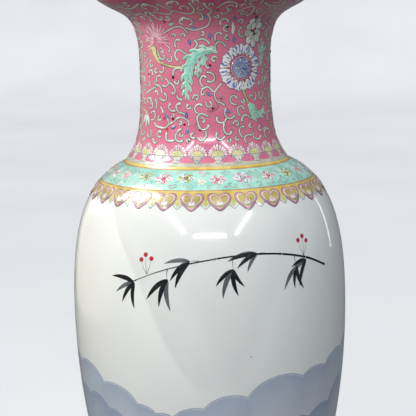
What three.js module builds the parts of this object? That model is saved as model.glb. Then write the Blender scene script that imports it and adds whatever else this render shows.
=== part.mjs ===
// A tall porcelain baluster vase with a flared mouth, thrown in sections and luted with slip.
// Millimetres, +Z up. The origin is the centre of the foot, in the plane that the vase stands on.
import * as THREE from "three";

// Heights, stacked from the foot up
const footRise = 36; // foot to the narrowest ring above it
const bodyRise = 310; // that ring to the belly
const shoulderRise = 124; // belly to the crease where the neck starts
const neckRise = 75; // crease to the narrowest ring of the neck
const mouthRise = 56; // that ring to the lower edge of the lip
const lipHeight = 9;

// Outer radii
const footRadius = 79;
const waistRadius = 72;
const bellyRadius = 116.5;
const creaseRadius = 69;
const neckRadius = 53.9;
const mouthRadius = 82.5;
const lipRadius = 90;

// How far each outer curve keeps the direction that it starts or ends with
const footPull = 14;
const waistPull = 104;
const bellyPullDown = 139;
const bellyPullUp = 66;
const creasePullDown = 41;
const creasePullUp = 14;
const neckPullDown = 60;
const neckPullUp = 51;
const mouthPull = 21;

// Directions of the outer curves, in degrees above the horizontal
const footSlope = 55;
const shoulderSlope = 23.5;
const neckFootSlope = 58;
const mouthSlope = 31.5;

// Walls, measured square to the surface
const bodyWall = 6.5;
const footRingWidth = 9; // the bare ring that the vase stands on
const footChamfer = 2.5;
const floorThickness = 8;
const floorHeight = 14; // recess under the floor, above the surface that the vase stands on
const floorSeat = 5; // how far the foot ring reaches in under the floor
const lipRound = 3.5;

// Joints between the sections
const slipThickness = 1;
const tongueHeight = 5;
const tongueWall = 3;
const clearance = 0.3;

// Where the sections are luted
const footSectionHeight = 24;
const lowerSectionLength = 150;
const shoulderSectionLength = 98; // below the crease
const mouthSectionLength = 24; // below the lip

const turns = 48; // flats around each ring
const slopeWindow = 7; // the inner wall evens out the outer crease over this distance

const waistHeight = footRise;
const bellyHeight = waistHeight + bodyRise;
const creaseHeight = bellyHeight + shoulderRise;
const neckHeight = creaseHeight + neckRise;
const lipBase = neckHeight + mouthRise;
const topHeight = lipBase + lipHeight;

const point = (radius, height) => new THREE.Vector2(radius, height);

// A point at a distance from another, in a direction above the outward horizontal
function reach(from, distance, degrees) {
  const angle = THREE.MathUtils.degToRad(degrees);
  return point(from.x + distance * Math.cos(angle), from.y + distance * Math.sin(angle));
}

const footEdge = point(footRadius, footChamfer);
const waist = point(waistRadius, waistHeight);
const belly = point(bellyRadius, bellyHeight);
const crease = point(creaseRadius, creaseHeight);
const neckRing = point(neckRadius, neckHeight);
const lipEdge = point(mouthRadius, lipBase);

// The outer curves from the foot to the lip, and how many straight steps each is drawn with
const outerCurves = [
  {
    steps: 5,
    curve: new THREE.CubicBezierCurve(
      footEdge,
      reach(footEdge, footPull, 180 - footSlope),
      reach(waist, footPull, -90),
      waist,
    ),
  },
  {
    steps: 10,
    curve: new THREE.CubicBezierCurve(
      waist,
      reach(waist, waistPull, 90),
      reach(belly, bellyPullDown, -90),
      belly,
    ),
  },
  {
    steps: 9,
    curve: new THREE.CubicBezierCurve(
      belly,
      reach(belly, bellyPullUp, 90),
      reach(crease, creasePullDown, -shoulderSlope),
      crease,
    ),
  },
  {
    steps: 9,
    curve: new THREE.CubicBezierCurve(
      crease,
      reach(crease, creasePullUp, 180 - neckFootSlope),
      reach(neckRing, neckPullDown, -90),
      neckRing,
    ),
  },
  {
    steps: 10,
    curve: new THREE.CubicBezierCurve(
      neckRing,
      reach(neckRing, neckPullUp, 90),
      reach(lipEdge, mouthPull, 180 + mouthSlope),
      lipEdge,
    ),
  },
];

// The outer line as drawn, from the foot to the lip
const outerLine = outerCurves.flatMap(({ curve, steps }, index) =>
  curve.getPoints(steps).slice(index ? 1 : 0),
);

// The outer radius at a height, on the straight steps of the line
function outerRadius(height) {
  const last = outerLine.length - 2;
  let step = outerLine.findIndex((from, index) => index <= last && height < outerLine[index + 1].y);
  if (step < 0) step = last;
  const [from, to] = [outerLine[step], outerLine[step + 1]];
  return from.x + ((to.x - from.x) * (height - from.y)) / (to.y - from.y);
}

// The inner radius at a height: one wall inside the outer line, measured square to it
function innerRadius(height) {
  const low = Math.max(height - slopeWindow, footChamfer);
  const high = Math.min(height + slopeWindow, lipBase);
  const slope = (outerRadius(high) - outerRadius(low)) / (high - low);
  return outerRadius(height) - bodyWall * Math.hypot(1, slope);
}

// The heights of the drawn steps between two heights
function stepsBetween(low, high) {
  const margin = 2;
  return outerLine.map((p) => p.y).filter((y) => y > low + margin && y < high - margin);
}

// The seams, from the foot up
const seams = {
  foot: footSectionHeight,
  lower: waistHeight + lowerSectionLength,
  shoulder: creaseHeight - shoulderSectionLength,
  neck: creaseHeight,
  mouth: lipBase - mouthSectionLength,
};

// The lap joint at a seam: the section below ends in a tongue, and the one above in a skirt round it
function lap(seam) {
  const tongueRadius = innerRadius(seam) + tongueWall;
  return {
    tongueRadius,
    skirtRadius: tongueRadius + clearance,
    ledge: seam - slipThickness / 2,
    skirtEnd: seam + slipThickness / 2,
    tongueTop: seam + tongueHeight,
    innerLedge: seam + tongueHeight + clearance,
  };
}

// The outer and inner ends of a wall at its upper seam, from the outside in
function topJoint(seam) {
  const joint = lap(seam);
  return [
    point(outerRadius(joint.ledge), joint.ledge),
    point(joint.tongueRadius, joint.ledge),
    point(joint.tongueRadius, joint.tongueTop),
    point(innerRadius(joint.tongueTop), joint.tongueTop),
  ];
}

// The inner and outer ends of a wall at its lower seam, from the inside out
function bottomJoint(seam) {
  const joint = lap(seam);
  return [
    point(innerRadius(joint.innerLedge), joint.innerLedge),
    point(joint.skirtRadius, joint.innerLedge),
    point(joint.skirtRadius, joint.skirtEnd),
    point(outerRadius(joint.skirtEnd), joint.skirtEnd),
  ];
}

// A ring or disc turned about Z from a profile that runs up its outside and down its inside
function turned(profile) {
  const geometry = new THREE.LatheGeometry(profile, turns);
  return geometry.rotateX(Math.PI / 2);
}

function closed(profile) {
  return turned([...profile, profile[0].clone()]);
}

// A thrown section of the wall between two seams
function wallSection(lowSeam, highSeam) {
  const outside = stepsBetween(lowSeam, highSeam).map((y) => point(outerRadius(y), y));
  const inside = stepsBetween(lowSeam + tongueHeight, highSeam).map((y) => point(innerRadius(y), y));
  return closed([
    ...bottomJoint(lowSeam),
    ...outside,
    ...topJoint(highSeam),
    ...inside.reverse(),
  ]);
}

// The flared mouth, from its seam to the rounded lip
function mouthSection(seam) {
  const outside = stepsBetween(seam, lipBase).map((y) => point(outerRadius(y), y));
  const inside = stepsBetween(seam + tongueHeight, lipBase).map((y) => point(innerRadius(y), y));
  const upper = point(lipRadius - lipRound, topHeight - lipRound);
  const rounding = [0, 45, 90].map((degrees) => reach(upper, lipRound, degrees));
  const lipInside = point(lipRadius - bodyWall - lipRound, topHeight - lipRound / 2);
  return closed([
    ...bottomJoint(seam),
    ...outside,
    lipEdge.clone(),
    point(lipRadius, lipBase + lipHeight / 2),
    ...rounding,
    lipInside,
    point(innerRadius(lipBase), lipBase),
    ...inside.reverse(),
  ]);
}

// The slip squeezed between the ledge of one section and the skirt of the next
function slipRing(seam) {
  const joint = lap(seam);
  return closed([
    point(joint.skirtRadius, joint.ledge),
    point(outerRadius(joint.ledge), joint.ledge),
    point(outerRadius(joint.skirtEnd), joint.skirtEnd),
    point(joint.skirtRadius, joint.skirtEnd),
  ]);
}

// The foot: a turned ring with a seat for the floor and a tongue for the lower body
const footTongue = topJoint(seams.foot);
const floorPocket = footTongue[3].x;
const seatRadius = floorPocket - floorSeat;

function footRing() {
  const outside = stepsBetween(footChamfer, seams.foot).map((y) => point(outerRadius(y), y));
  return closed([
    point(footRadius - footChamfer - footRingWidth, 0),
    point(footRadius - footChamfer, 0),
    footEdge.clone(),
    ...outside,
    ...footTongue,
    point(floorPocket, floorHeight),
    point(seatRadius, floorHeight),
    point(seatRadius, footChamfer),
  ]);
}

// The slip that beds the floor on its seat
function floorSlip() {
  const outerEdge = floorPocket - clearance;
  return closed([
    point(seatRadius, floorHeight),
    point(outerEdge, floorHeight),
    point(outerEdge, floorHeight + slipThickness),
    point(seatRadius, floorHeight + slipThickness),
  ]);
}

// The floor of the vase, a disc in the foot ring's pocket
function floorDisc() {
  const bottom = floorHeight + slipThickness;
  const edge = floorPocket - clearance;
  return turned([
    point(0, bottom),
    point(edge, bottom),
    point(edge, bottom + floorThickness),
    point(0, bottom + floorThickness),
  ]);
}

const whiteGlaze = { color: 0xe6e8e6, roughness: 0.12, metalness: 0 };
const roseEnamel = { color: 0xc8557c, roughness: 0.2, metalness: 0 };
const bareSlip = { color: 0xd9d2c4, roughness: 0.7, metalness: 0 };

const vase = new THREE.Group();

function add(name, geometry, finish) {
  const mesh = new THREE.Mesh(geometry, new THREE.MeshStandardMaterial(finish));
  mesh.name = name;
  vase.add(mesh);
}

add("foot_ring", footRing(), whiteGlaze);
add("floor_disc", floorDisc(), whiteGlaze);
add("lower_body", wallSection(seams.foot, seams.lower), whiteGlaze);
add("middle_body", wallSection(seams.lower, seams.shoulder), whiteGlaze);
add("shoulder", wallSection(seams.shoulder, seams.neck), whiteGlaze);
add("neck", wallSection(seams.neck, seams.mouth), roseEnamel);
add("flared_mouth", mouthSection(seams.mouth), roseEnamel);

add("slip_under_floor", floorSlip(), bareSlip);
add("slip_on_foot", slipRing(seams.foot), bareSlip);
add("slip_at_lower_body", slipRing(seams.lower), bareSlip);
add("slip_at_shoulder", slipRing(seams.shoulder), bareSlip);
add("slip_at_neck", slipRing(seams.neck), bareSlip);
add("slip_at_mouth", slipRing(seams.mouth), bareSlip);

export default vase;
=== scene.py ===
import math
import random

import bpy
import numpy as np
from mathutils import Matrix, Vector


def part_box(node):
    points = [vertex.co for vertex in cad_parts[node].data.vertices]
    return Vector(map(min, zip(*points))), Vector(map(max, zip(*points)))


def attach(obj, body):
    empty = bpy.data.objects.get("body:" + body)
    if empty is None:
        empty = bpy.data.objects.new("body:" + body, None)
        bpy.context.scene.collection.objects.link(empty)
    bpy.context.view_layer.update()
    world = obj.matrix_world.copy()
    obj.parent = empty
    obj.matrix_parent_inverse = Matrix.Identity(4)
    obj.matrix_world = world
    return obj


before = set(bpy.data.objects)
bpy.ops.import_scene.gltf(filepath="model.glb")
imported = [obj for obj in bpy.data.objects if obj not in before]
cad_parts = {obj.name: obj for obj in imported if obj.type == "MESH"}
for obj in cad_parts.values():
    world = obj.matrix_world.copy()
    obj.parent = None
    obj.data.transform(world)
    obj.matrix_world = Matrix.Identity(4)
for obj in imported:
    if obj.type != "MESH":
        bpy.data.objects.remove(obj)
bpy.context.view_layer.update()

MM = 0.001
BODY = "root"
PICTURE = 416

# The rings that the outline passes through, as radius and height
top_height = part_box("flared_mouth")[1].z / MM
lip_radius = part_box("flared_mouth")[1].x / MM
foot_ring = (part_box("foot_ring")[1].x / MM, 2.5)
waist_ring = (72, 36)
belly_ring = (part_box("middle_body")[1].x / MM, 346)
crease_ring = (69, 470)
neck_ring = (53.9, 545)
mouth_ring = (82.5, top_height - 9)
lip_round = 3.5
wall = 6.5
slope_window = 7
flare_low = 560
floor_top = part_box("floor_disc")[1].z / MM

# What lies on the porcelain: the clear glaze, the coloured grounds and, on them, levels of drawn enamel
glaze_thickness = 0.4
glaze_body = 0.6
glaze_foot = 4.5
ground_thickness = 0.55
ground_edge = 0.3
level_step = 0.07
shape_step = 0.002
sunk_lift = 0.3

# Heights where one ground meets the next
border_low = 449
turquoise_low = 456.2
turquoise_high = 469.2
neck_band_low = 469.8
neck_band_high = 471.8
base_band_high = 474.4
rose_high = 604.2
line_width = 0.6

# How finely things are divided, round the vase and along its outline or a drawn line
glaze_turns = 480
ground_turns = 240
cloud_steps = 1440
glaze_step = 3
washed_step = 1.4
crease_step = 0.4
underside_step = 7
ground_step = 2.5
stroke_step = 1.1

# Where the glaze's points lie closer together: between the heights of the blue wash, and beside the crease
wash_low = 100
wash_high = 335
crease_half = 4


def srgb(red, green, blue):
    """A colour as Blender's linear values, from the usual 0 to 255 ones."""
    linear = []
    for value in (red, green, blue):
        share = value / 255
        linear.append(share / 12.92 if share <= 0.04045 else ((share + 0.055) / 1.055) ** 2.4)
    return (*linear, 1.0)


# The outline of the porcelain


def reach(ring, distance, degrees):
    angle = math.radians(degrees)
    return (ring[0] + distance * math.cos(angle), ring[1] + distance * math.sin(angle))


def bezier(start, pull_start, pull_end, end, count):
    t = np.linspace(0, 1, count)[:, None]
    corners = [np.array(p, float) for p in (start, pull_start, pull_end, end)]
    shares = [(1 - t) ** 3, 3 * (1 - t) ** 2 * t, 3 * (1 - t) * t * t, t**3]
    return sum(share * corner for share, corner in zip(shares, corners))


def outside_line():
    """Points of the outline from the foot over the rounded lip, with heights that only rise."""
    lip_centre = (lip_radius - lip_round, top_height - lip_round)
    rounding = np.array([reach(lip_centre, lip_round, degrees) for degrees in range(0, 91, 10)])
    curves = [
        bezier(foot_ring, reach(foot_ring, 14, 125), reach(waist_ring, 14, -90), waist_ring, 30),
        bezier(waist_ring, reach(waist_ring, 104, 90), reach(belly_ring, 139, -90), belly_ring, 160),
        bezier(belly_ring, reach(belly_ring, 66, 90), reach(crease_ring, 41, -23.5), crease_ring, 90),
        bezier(crease_ring, reach(crease_ring, 14, 122), reach(neck_ring, 60, -90), neck_ring, 60),
        bezier(neck_ring, reach(neck_ring, 51, 90), reach(mouth_ring, 21, 211.5), mouth_ring, 50),
        bezier(mouth_ring, reach(mouth_ring, 3, 31), (lip_radius, top_height - 4.6), rounding[0], 8),
        rounding,
    ]
    return np.vstack([curve[1 if index else 0 :] for index, curve in enumerate(curves)])


line = outside_line()
line_arc = np.concatenate([[0], np.cumsum(np.hypot(*np.diff(line, axis=0).T))])
slope_along = np.gradient(line, line_arc, axis=0)
line_normal = np.stack([slope_along[:, 1], -slope_along[:, 0]], axis=1)
line_normal /= np.linalg.norm(line_normal, axis=1)[:, None]


def arc_at(height):
    """Distance along the outline from the foot to a height."""
    return np.interp(height, line[:, 1], line_arc)


def radius_on(arc):
    return np.interp(arc, line_arc, line[:, 0])


def on_arc(arc):
    """Radius, height and the outward direction at a distance along the outline."""
    columns = [line[:, 0], line[:, 1], line_normal[:, 0], line_normal[:, 1]]
    return [np.interp(arc, line_arc, column) for column in columns]


def square_to(path):
    """The direction square to each point of a section's outline, away from the porcelain."""
    along = np.gradient(path, axis=0)
    normal = np.stack([along[:, 1], -along[:, 0]], axis=1)
    return normal / np.linalg.norm(normal, axis=1)[:, None]


def inside_line():
    """Points down the inside of the wall, one wall in from the outside with its slope evened out."""
    mouth = mouth_ring[1]
    heights = np.concatenate([np.arange(mouth, flare_low, -1), np.arange(flare_low, floor_top + 12, -5)])
    low = np.maximum(heights - slope_window, foot_ring[1])
    high = np.minimum(heights + slope_window, mouth)
    radius_low, radius, radius_high = (np.interp(z, line[:, 1], line[:, 0]) for z in (low, heights, high))
    slope = (radius_high - radius_low) / (high - low)
    return np.stack([radius - wall * np.hypot(1, slope), heights], axis=1)


def on_surface(degrees, arc, lift):
    """Points on the vase at an angle and a distance along the outline, lifted off the porcelain."""
    radius, height, out, up = on_arc(arc)
    angle = np.radians(degrees)
    spread = radius + out * lift
    return np.stack([spread * np.sin(angle), -spread * np.cos(angle), height + up * lift], axis=-1)


# Materials


class Surface:
    """A material in the making, with the nodes that lead to its shader."""

    def __init__(self, name, roughness, coat):
        self.material = bpy.data.materials.new(name)
        self.material.use_nodes = True
        self.nodes = self.material.node_tree.nodes
        self.link = self.material.node_tree.links.new
        self.shader = self.nodes["Principled BSDF"]
        self.shader.inputs["Roughness"].default_value = roughness
        self.shader.inputs["Coat Weight"].default_value = coat
        self.shader.inputs["Coat Roughness"].default_value = 0.03
        self.place = self.nodes.new("ShaderNodeTexCoord").outputs["Object"]

    def noise(self, scale, detail):
        texture = self.nodes.new("ShaderNodeTexNoise")
        texture.inputs["Scale"].default_value = scale
        texture.inputs["Detail"].default_value = detail
        self.link(self.place, texture.inputs["Vector"])
        return texture.outputs["Fac"]

    def mix(self, factor, first, second, low=0.0, high=1.0):
        """Mixes two colours by a factor stretched from low to high."""
        stretch = self.nodes.new("ShaderNodeMapRange")
        stretch.inputs["From Min"].default_value = low
        stretch.inputs["From Max"].default_value = high
        self.link(factor, stretch.inputs["Value"])
        mix = self.nodes.new("ShaderNodeMix")
        mix.data_type = "RGBA"
        self.link(stretch.outputs["Result"], mix.inputs["Factor"])
        for colour, socket in ((first, mix.inputs[6]), (second, mix.inputs[7])):
            if isinstance(colour, tuple):
                socket.default_value = colour
            else:
                self.link(colour, socket)
        return mix.outputs[2]

    def roughen(self, height, distance, strength):
        """A bump so many millimetres deep."""
        bump = self.nodes.new("ShaderNodeBump")
        bump.inputs["Distance"].default_value = distance * MM
        bump.inputs["Strength"].default_value = strength
        self.link(height, bump.inputs["Height"])
        self.link(bump.outputs["Normal"], self.shader.inputs["Normal"])

    def finish(self, colour):
        self.link(colour, self.shader.inputs["Base Color"])
        return self.material


def enamel_material(name, light, dark):
    """A glassy overglaze enamel, mottled where it was laid on thick and thin."""
    enamel = Surface(name, 0.2, 0.25)
    fine = enamel.noise(900, 2)
    colour = enamel.mix(enamel.noise(110, 3), srgb(*light), srgb(*dark), 0.38, 0.62)
    enamel.roughen(fine, 0.04, 0.4)
    return enamel.finish(enamel.mix(fine, colour, srgb(*dark), 0.55, 0.85))


def glaze_material():
    """Clear glaze over white porcelain, clouded, with a few iron specks and a wash of blue where painted."""
    glaze = Surface("white_glaze", 0.1, 0.5)
    colour = glaze.mix(glaze.noise(7, 4), srgb(234, 236, 233), srgb(226, 230, 230), 0.35, 0.7)
    specks = glaze.nodes.new("ShaderNodeTexVoronoi")
    specks.inputs["Scale"].default_value = 30
    glaze.link(glaze.place, specks.inputs["Vector"])
    spotted = glaze.mix(specks.outputs["Distance"], srgb(128, 118, 102), colour, 0.01, 0.022)
    painted = glaze.nodes.new("ShaderNodeAttribute")
    painted.attribute_name = "wash"
    blue = glaze.mix(glaze.noise(45, 5), srgb(140, 160, 190), srgb(120, 142, 176), 0.3, 0.7)
    glaze.roughen(glaze.noise(260, 2), 0.02, 0.3)
    return glaze.finish(glaze.mix(painted.outputs["Fac"], spotted, blue))


def paste_material(name, light, dark):
    """Bare fired clay, matt and slightly gritty."""
    paste = Surface(name, 0.65, 0)
    paste.roughen(paste.noise(1400, 3), 0.08, 0.6)
    return paste.finish(paste.mix(paste.noise(30, 3), srgb(*light), srgb(*dark), 0.4, 0.75))


def rose_material():
    """The rose ground, brushed and dotted, with painted shade that deepens it to crimson under the lip."""
    ground = Surface("rose_ground", 0.18, 0.3)
    fine = ground.noise(800, 3)
    rose = ground.mix(ground.noise(26, 4), srgb(229, 128, 156), srgb(210, 106, 140), 0.35, 0.65)
    grain = ground.mix(fine, rose, srgb(232, 156, 172), 0.52, 0.82)
    painted_shade_axes = ground.nodes.new("ShaderNodeSeparateXYZ")
    ground.link(ground.place, painted_shade_axes.inputs["Vector"])
    ground.roughen(fine, 0.03, 0.3)
    # Painted shade: from 580 mm upwards the ground darkens to deep crimson under the lip's overhang.
    return ground.finish(ground.mix(painted_shade_axes.outputs["Z"], grain, srgb(174, 56, 100), 0.58, 0.602))


# Enamel colours, as the lighter and the darker tone and a slot name
enamels = {
    "turquoise": ((180, 234, 220), (150, 216, 202), "turquoise_enamel"),
    "leaf_turquoise": ((172, 234, 216), (130, 212, 192), "turquoise_enamel"),
    "scroll_pale": ((222, 236, 222), (186, 212, 194), "turquoise_enamel"),
    "moss": ((212, 222, 202), (182, 196, 172), "turquoise_enamel"),
    "yellow": ((238, 216, 126), (220, 190, 98), "yellow_enamel"),
    "ochre": ((226, 206, 126), (202, 178, 94), "yellow_enamel"),
    "orange": ((214, 150, 88), (190, 118, 66), "yellow_enamel"),
    "yellow_green": ((222, 222, 162), (198, 200, 126), "yellow_enamel"),
    "olive": ((206, 196, 116), (172, 158, 84), "yellow_enamel"),
    "band_grey": ((210, 208, 198), (188, 186, 172), "white_glaze"),
    "lip_green": ((204, 212, 150), (184, 194, 128), "yellow_enamel"),
    "white": ((244, 244, 242), (224, 226, 230), "white_glaze"),
    "grey_white": ((222, 220, 214), (188, 188, 184), "white_glaze"),
    "blue": ((112, 132, 194), (74, 96, 164), "blue_wash"),
    "blue_grey": ((140, 154, 190), (104, 120, 166), "blue_wash"),
    "lilac": ((208, 202, 206), (180, 172, 182), "blue_wash"),
    "pink": ((228, 160, 180), (208, 118, 148), "rose_enamel"),
    "pale_pink": ((244, 210, 214), (230, 176, 188), "rose_enamel"),
    "mauve": ((208, 156, 172), (182, 124, 146), "rose_enamel"),
    "crimson": ((156, 36, 60), (120, 20, 42), "rose_enamel"),
    "red": ((204, 62, 78), (176, 38, 58), "rose_enamel"),
    "outline": ((66, 84, 76), (44, 54, 52), None),
    "dark": ((82, 70, 76), (48, 40, 48), None),
    "ink": ((36, 36, 40), (18, 18, 22), None),
    "grey_ink": ((112, 114, 118), (82, 84, 90), None),
}
materials = {
    name: enamel_material(name + "_enamel", light, dark) for name, (light, dark, slot) in enamels.items()
}
materials["paste"] = paste_material("porcelain_paste", (236, 232, 224), (214, 204, 188))
materials["slip"] = paste_material("luting_slip", (226, 219, 206), (206, 196, 180))
materials["iron_edge"] = paste_material("iron_edge", (196, 140, 92), (160, 104, 62))
materials["white_glaze"] = glaze_material()
materials["rose_ground"] = rose_material()


# Meshes


def mesh_object(name, points, face_groups, material):
    """A smooth shaded piece of the vase from points in millimetres and arrays of faces, one row a face."""
    points = np.asarray(points, np.float32) * np.float32(MM)
    corners = np.concatenate([faces.ravel() for faces in face_groups]).astype(np.int32)
    sizes = np.concatenate([np.full(len(faces), faces.shape[1]) for faces in face_groups])
    starts = np.concatenate([[0], np.cumsum(sizes)[:-1]]).astype(np.int32)
    mesh = bpy.data.meshes.new(name)
    mesh.vertices.add(len(points))
    mesh.vertices.foreach_set("co", points.ravel())
    mesh.loops.add(len(corners))
    mesh.loops.foreach_set("vertex_index", corners)
    mesh.polygons.add(len(sizes))
    mesh.polygons.foreach_set("loop_start", starts)
    mesh.update(calc_edges=True)
    mesh.materials.append(materials[material])
    piece = bpy.data.objects.new(name, mesh)
    bpy.context.scene.collection.objects.link(piece)
    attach(piece, BODY)
    return piece


def turned(name, profile, material, turns=ground_turns):
    """A closed profile of radius and height, turned about the vase's axis."""
    profile = np.asarray(profile, float)
    count = len(profile)
    angle = np.linspace(0, 2 * math.pi, turns, endpoint=False)
    x = np.outer(np.sin(angle), profile[:, 0])
    y = -np.outer(np.cos(angle), profile[:, 0])
    z = np.tile(profile[:, 1], (turns, 1))
    points = np.stack([x, y, z], axis=-1).reshape(-1, 3)
    step = np.arange(count)
    ahead = (step + 1) % count
    here = np.arange(turns)[:, None] * count
    after = (np.arange(turns)[:, None] + 1) % turns * count
    faces = np.stack([here + step, after + step, after + ahead, here + ahead], axis=-1).reshape(-1, 4)
    return mesh_object(name, points, [faces], material)


def skin_profile(low, high, thickness):
    """The section of a ring of enamel: its outside with rounded edges, and its underside within the glaze."""
    start = float(arc_at(low))
    end = float(arc_at(high))
    edge = min(ground_edge, (end - start) / 4)
    steps = max(2, int((end - start) / ground_step))
    inner = list(np.linspace(start + edge, end - edge, steps + 1))
    arcs = np.array([start, start + 0.15 * edge, *inner, end - 0.15 * edge, end])
    lift = np.full(len(arcs), thickness)
    lift[[0, -1]] = sunk_lift
    lift[[1, -2]] = thickness - 0.08
    radius, height, out, up = on_arc(arcs)
    outside = np.stack([radius + out * lift, height + up * lift], axis=1)
    inside = np.stack([radius + out * sunk_lift, height + up * sunk_lift], axis=1)[1:-1]
    return np.vstack([outside, inside[::-1] - [0.05, 0]])


def cloud_banks():
    """Banks of cloud round the lower body: each one's scalloped top line, its depth and its strength."""
    draw = random.Random(11)
    degrees = np.linspace(-180, 180, cloud_steps + 1)
    banks = []
    for height, depth, strength in ((300, 66, 0.75), (270, 70, 0.9), (224, 76, 1.0), (164, 80, 1.0)):
        top = np.zeros(len(degrees))
        reached = draw.uniform(-8, 0)
        while reached < 352:
            width = draw.uniform(13, 34)
            middle = reached + width / 2
            swell = 16 * math.sin(math.radians(2 * middle + height)) + 5 * math.sin(math.radians(5 * middle))
            aside = (degrees - middle + 180) % 360 - 180
            share = np.clip(1 - (2 * aside / width) ** 2, 0, 1)
            mound = height + swell + 0.25 * width + 0.75 * width * (np.sqrt(share) - 1)
            top = np.where(np.abs(aside) < width / 2, np.maximum(top, mound), top)
            reached += width * 0.7
        banks.append((degrees, top, depth, strength))
    return banks


def cloud_wash(banks, degrees, height):
    """How strong the blue wash is at points of the body: crisp at each bank's top, and fading down."""
    wash = np.zeros(len(height))
    for steps, tops, depth, strength in banks:
        below = np.interp((degrees + 180) % 360 - 180, steps, tops) - height
        crisp = np.clip(below / 1.2, 0, 1)
        bank = strength * np.exp(-np.clip(below, 0, None) / depth)
        wash = crisp * np.maximum(bank, 0.25 * wash) + (1 - crisp) * wash
    return wash


def add_glaze():
    """The clear glaze: up the outside from the foot, round the lip and down the inside to the floor."""
    crease_arc = float(arc_at(crease_ring[1]))
    arcs = np.concatenate([
        np.arange(arc_at(glaze_foot), arc_at(wash_low), glaze_step),
        np.arange(arc_at(wash_low), arc_at(wash_high), washed_step),
        np.arange(arc_at(wash_high), crease_arc - crease_half, glaze_step),
        np.arange(crease_arc - crease_half, crease_arc + crease_half, crease_step),
        np.arange(crease_arc + crease_half, line_arc[-1], glaze_step),
        [line_arc[-1]],
    ])
    radius, height, out, up = on_arc(arcs)
    outside = np.stack([radius + out * glaze_thickness, height + up * glaze_thickness], axis=1)
    dish_edge = (lip_radius - wall - lip_round, top_height - lip_round / 2 + glaze_thickness)
    inside = inside_line()
    inside = inside + square_to(inside) * glaze_thickness
    floor = [(inside[-1, 0] - 1.5, floor_top + 3), (inside[-1, 0] - 5, floor_top + glaze_thickness),
             (0.5, floor_top + glaze_thickness)]
    path = np.vstack([outside, [dish_edge], inside, floor])
    travelled = np.concatenate([[0], np.cumsum(np.hypot(*np.diff(path, axis=0).T))])
    kept = np.searchsorted(travelled, np.arange(0, travelled[-1] - 12, underside_step))
    near_crease = np.flatnonzero(np.abs(arcs - crease_arc) < crease_half + 1)
    kept = [*np.unique([*kept, *near_crease]), len(path) - 3, len(path) - 1]
    under = (path - square_to(path) * glaze_body)[kept][::-1]
    profile = np.vstack([path, under])
    glaze = turned("clear_glaze", profile, "white_glaze", glaze_turns)
    angles = np.repeat(np.linspace(0, 360, glaze_turns, endpoint=False), len(profile))
    heights = np.tile(profile[:, 1], glaze_turns)
    outer = np.tile(np.arange(len(profile)) < len(outside), glaze_turns)
    banks = cloud_banks()
    wash = np.where(outer, cloud_wash(banks, angles, heights), 0)
    attribute = glaze.data.attributes.new("wash", "FLOAT", "POINT")
    attribute.data.foreach_set("value", wash.astype(np.float32))
    for degrees, tops, *_ in banks:
        edge = np.stack([degrees, arc_at(tops)], axis=1)
        ink("cloud_banks", "blue_grey", -1).stroke(edge, 0.55)


def add_glaze_edge():
    """The orange line where the glaze stops short of the foot."""
    middle = arc_at(glaze_foot)
    radius, height, out, up = (float(v) for v in on_arc(middle))
    angles = np.linspace(0, 2 * math.pi, 10, endpoint=False)
    bead = [(radius + out * 0.1 + 0.45 * math.cos(a), height + 0.6 * math.sin(a)) for a in angles]
    turned("glaze_edge", bead, "iron_edge")


def add_grounds():
    thick = ground_thickness + 2 * level_step
    rings = [
        ("orange_shoulder_line", turquoise_low - line_width, turquoise_low, "orange"),
        ("turquoise_band", turquoise_low, turquoise_high, "turquoise"),
        ("orange_neck_line", turquoise_high, neck_band_low, "orange"),
        ("yellow_neck_band", neck_band_low, neck_band_high, "yellow"),
        ("grey_neck_band", neck_band_high, base_band_high, "band_grey"),
        ("lip_band", rose_high, top_height - 0.8, "lip_green"),
    ]
    for name, low, high, colour in rings:
        turned(name, skin_profile(low, high, ground_thickness), colour)
    shoulder_band = skin_profile(border_low, turquoise_low - line_width, thick)
    turned("yellow_shoulder_band", shoulder_band, "ochre")
    rose = skin_profile(base_band_high, rose_high, ground_thickness)
    turned("rose_neck_ground", rose, "rose_ground")


def dress_nodes():
    """The porcelain under the glaze, which shows at the bare foot, and the slip between its sections."""
    for name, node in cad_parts.items():
        kind = "slip" if name.startswith("slip") else "paste"
        node.material_slots[0].material = materials[kind]


# Drawing in enamel. A chart place is an angle and a height, and a path is angles and arcs close together.


def smooth_line(points, closed=False):
    """A curve through points, as many points close together."""
    p = [np.array(point, float) for point in points]
    if closed:
        p = [p[-1], *p, p[0], p[1]]
    else:
        p = [2 * p[0] - p[1], *p, 2 * p[-1] - p[-2]]
    t = np.linspace(0, 1, 10, endpoint=False)[:, None]
    curves = []
    for a, b, c, d in zip(p, p[1:], p[2:], p[3:]):
        curves.append(
            0.5 * (2 * b + (c - a) * t + (2 * a - 5 * b + 4 * c - d) * t**2 + (3 * b - a - 3 * c + d) * t**3)
        )
    if not closed:
        curves.append(p[-2][None])
    return np.vstack(curves)


def chart(points, turn=0):
    """A smooth path through chart places, moved round the vase by an angle."""
    points = np.array(points, float) + [turn, 0]
    points[:, 1] = arc_at(points[:, 1])
    stretch = math.radians(radius_on(points[:, 1].mean()))
    return smooth_line(points * [stretch, 1]) / [stretch, 1]


class Spot:
    """A place on the vase with its own millimetres to the right and up, to draw a small motif in."""

    def __init__(self, degrees, height, turn=0, flip=False):
        self.degrees = degrees
        self.arc = float(arc_at(height))
        angle = math.radians(turn)
        self.right = np.array([math.cos(angle), math.sin(angle)]) * (-1 if flip else 1)
        self.up = np.array([-math.sin(angle), math.cos(angle)])

    def path(self, points):
        points = np.asarray(points, float)
        moved = points[:, :1] * self.right + points[:, 1:] * self.up
        arc = self.arc + moved[:, 1]
        return np.stack([self.degrees + np.degrees(moved[:, 0] / radius_on(arc)), arc], axis=1)

    def curve(self, points):
        return self.path(smooth_line(points))


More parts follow.
